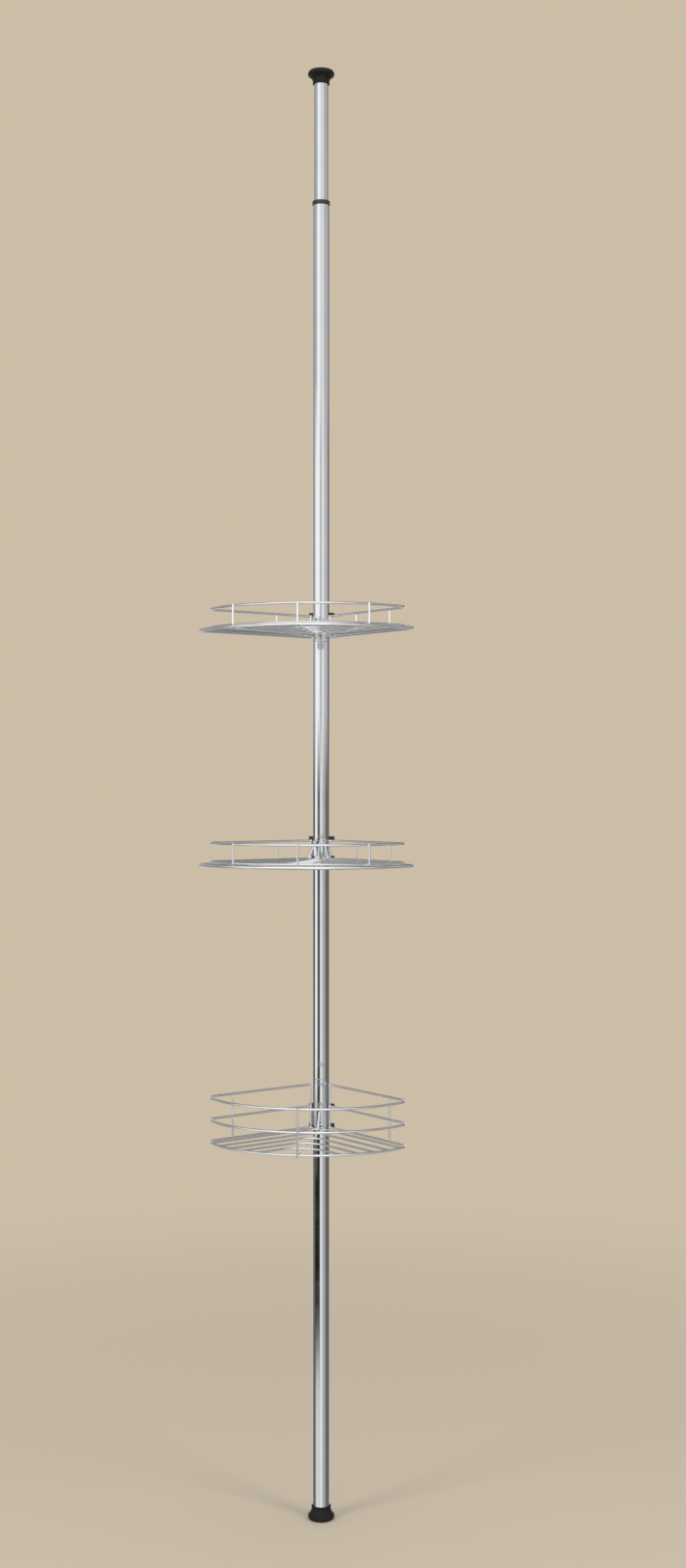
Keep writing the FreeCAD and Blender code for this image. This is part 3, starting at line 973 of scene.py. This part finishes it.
# %% [markdown]
# ## A room for the chrome
#
# Chrome looks like what stands around it. With only a plain backdrop it would be a grey stick, so
# glossy rays see a room instead: dim walls with bright windows and a mirror as soft-edged panels,
# and one dark doorway. An image of a real room could wrap the world, but panels can be placed one
# by one, until each band on the pole falls where it should.
#
# Each panel has a range of azimuth, in degrees to the right of the camera as seen from the pole,
# a range of elevation, and a level that it adds. A negative level is a dark place.

# %% Panels of the room
CAMERA_TURN = 7.6
WALL_LEVEL = 0.16
WALL_TONE = (1.01, 1.0, 0.96)
PANEL_TONE = (0.985, 0.99, 1.0)
AZIMUTH_SOFTNESS = 8
ELEVATION_SOFTNESS = 1.5
PANELS = {
    "left_wall": (-140, -86, 1, 24, 0.40),
    "high_left_wall": (-140, -86, 24, 42, 0.12),
    "window": (-86, -18, 1, 11, 1.38),
    "window_bar": (-18, 8, 1, 11, 0.60),
    "second_window": (8, 42, 1, 11, 1.14),
    "curtain": (42, 102, 1, 11, 0.64),
    "high_window_edge": (-86, -56, 11, 42, 0.60),
    "high_window": (-56, -14, 11, 42, 1.36),
    "high_second_window": (-14, 42, 11, 42, 1.00),
    "high_curtain": (42, 112, 11, 24, 0.57),
    "curtain_top": (42, 112, 24, 42, 0.12),
    "mirror": (-90, -54, -10, 1, 1.36),
    "door_frame": (-14, 14, -42, 1, 1.21),
    "towel": (14, 58, -42, 1, 0.52),
    "right_side": (58, 142, -42, 1, 0.06),
    "left_side": (-140, -92, -42, 1, 0.06),
    "doorway": (-92, -26, -16, -9, -0.14),
    "tub": (-80, -16, -42, -17, 0.95),
    "ceiling": (-70, 36, 42, 120, 1.00),
    "back_wall_right": (120, 400, 46, 120, 0.25),
    "back_wall_left": (-400, -120, 46, 120, 0.25),
    "floor_tiles": (-400, 400, -120, -42, 0.18),
    "back_window": (148, 174, -42, 22, 0.85),
    "back_door": (-172, -148, -42, 22, 0.75),
}
print("the room has", len(PANELS), "panels")

# %% [markdown]
# The world's shader gets a ray's direction. Math nodes turn it into azimuth and elevation, and
# two soft bands multiplied give a panel: one where the ray points into it, and zero outside.

# %% A panel in nodes


def calculate(nodes, links, operation, *values):
    """One math node, fed with numbers or sockets."""
    node = nodes.new("ShaderNodeMath")
    node.operation = operation
    for socket, value in zip(node.inputs, values):
        if isinstance(value, bpy.types.NodeSocket):
            links.new(value, socket)
        else:
            socket.default_value = value
    return node.outputs["Value"]


def soft_band(nodes, links, value, low, high, softness):
    """One between low and high, falling smoothly to zero outside."""
    steps = []
    for edge in (low, high):
        step = nodes.new("ShaderNodeMapRange")
        step.interpolation_type = "SMOOTHSTEP"
        step.inputs["From Min"].default_value = edge - softness
        step.inputs["From Max"].default_value = edge + softness
        links.new(value, step.inputs["Value"])
        steps.append(step.outputs["Result"])
    return calculate(nodes, links, "SUBTRACT", *steps)


def ray_angles(nodes, links):
    """Azimuth to the right of the camera and elevation of a ray, in degrees."""
    place = nodes.new("ShaderNodeTexCoord")
    turn = nodes.new("ShaderNodeMapping")
    turn.inputs["Rotation"].default_value[2] = math.radians(90 - CAMERA_TURN)
    axes = nodes.new("ShaderNodeSeparateXYZ")
    links.new(place.outputs["Generated"], turn.inputs["Vector"])
    links.new(turn.outputs["Vector"], axes.inputs["Vector"])
    azimuth = calculate(nodes, links, "ARCTAN2", axes.outputs["Y"], axes.outputs["X"])
    elevation = calculate(nodes, links, "ARCSINE", axes.outputs["Z"])
    return [calculate(nodes, links, "DEGREES", angle) for angle in (azimuth, elevation)]


def level_of_panels(nodes, links):
    """The levels of all panels that a ray meets, added up."""
    azimuth, elevation = ray_angles(nodes, links)
    total = 0.0
    for left, right, low, high, level in PANELS.values():
        across = soft_band(nodes, links, azimuth, left, right, AZIMUTH_SOFTNESS)
        upwards = soft_band(nodes, links, elevation, low, high, ELEVATION_SOFTNESS)
        panel = calculate(nodes, links, "MULTIPLY", across, upwards)
        total = calculate(nodes, links, "MULTIPLY_ADD", panel, level, total)
    return total


# %% [markdown]
# The world answers each kind of ray in its own way. The camera sees the plain backdrop, glossy
# rays see the room, and all other rays bring a soft, even light that fills the shadows.

# %% World
FILL_TONE = (0.95, 0.97, 1.0)
FILL_LEVEL = 0.55


def background(nodes, colour, strength=1.0):
    shader = nodes.new("ShaderNodeBackground")
    shader.inputs["Color"].default_value = (*colour, 1)
    shader.inputs["Strength"].default_value = strength
    return shader


def choose(nodes, links, question, otherwise, answer):
    """The shader for rays of one kind, and another for all the rest."""
    mix = nodes.new("ShaderNodeMixShader")
    links.new(question, mix.inputs["Fac"])
    links.new(otherwise, mix.inputs[1])
    links.new(answer, mix.inputs[2])
    return mix.outputs["Shader"]


def room_world():
    world = bpy.data.worlds.new("room")
    bpy.context.scene.world = world
    world.use_nodes = True
    nodes, links = world.node_tree.nodes, world.node_tree.links
    walls = background(nodes, WALL_TONE, WALL_LEVEL)
    panels = background(nodes, PANEL_TONE)
    links.new(level_of_panels(nodes, links), panels.inputs["Strength"])
    room = nodes.new("ShaderNodeAddShader")
    links.new(walls.outputs["Background"], room.inputs[0])
    links.new(panels.outputs["Background"], room.inputs[1])
    fill = background(nodes, FILL_TONE, FILL_LEVEL).outputs["Background"]
    backdrop = background(nodes, BACKDROP).outputs["Background"]
    ray = nodes.new("ShaderNodeLightPath").outputs
    unseen = choose(nodes, links, ray["Is Glossy Ray"], fill, room.outputs["Shader"])
    seen = choose(nodes, links, ray["Is Camera Ray"], unseen, backdrop)
    links.new(seen, nodes["World Output"].inputs["Surface"])
    print("the world has", len(nodes), "nodes")


room_world()

# %% [markdown]
# ## Lamps
#
# Three big soft lamps, left, right and above, give the wires a light side and the unit a soft
# shadow. They are hidden from glossy rays, because the room's windows are already the lights that
# chrome shows, and a second set would only clutter it.

# %% Lamps
LAMP_AIM = Vector((0, 0, 1.1))


def soft_lamp(name, place, width, height, watts):
    lamp = bpy.data.lights.new(name, "AREA")
    lamp.shape = "RECTANGLE"
    lamp.size = width
    lamp.size_y = height
    lamp.energy = watts
    holder = bpy.data.objects.new(name, lamp)
    holder.location = place
    holder.rotation_euler = (LAMP_AIM - Vector(place)).to_track_quat("-Z", "Y").to_euler()
    holder.visible_glossy = False
    bpy.context.scene.collection.objects.link(holder)
    print(name, "gives", watts, "W")


soft_lamp("lamp_left", (-2.2, -2.4, 2.2), width=1.0, height=2.6, watts=46)
soft_lamp("lamp_right", (2.6, -1.8, 2.4), width=1.0, height=2.6, watts=40)
soft_lamp("lamp_top", (0.2, -0.4, 3.6), width=1.8, height=1.8, watts=26)

# %% [markdown]
# ## Camera
#
# The camera stands level, halfway up the pole, so the pole stays upright and its two ends are
# seen from below and from above. Its focal length is given in pixels of the image's height, the
# frame's longer side, which is the one that the sensor's width is laid along.

# %% Camera
IMAGE_HEIGHT = 1622
FOCAL_PIXELS = 1950
CAMERA_PLACE = (0.4108, -2.8285, 1.1129)
LEVEL = math.radians(90)
lens = bpy.data.cameras.new("camera")
lens.sensor_width = 36
lens.lens = lens.sensor_width * FOCAL_PIXELS / IMAGE_HEIGHT
camera = bpy.data.objects.new("camera", lens)
camera.location = CAMERA_PLACE
camera.rotation_euler = (LEVEL, 0, math.radians(CAMERA_TURN))
bpy.context.scene.collection.objects.link(camera)
bpy.context.scene.camera = camera
bpy.context.scene.view_settings.view_transform = "Standard"
print("lens", round(lens.lens, 2), "mm")
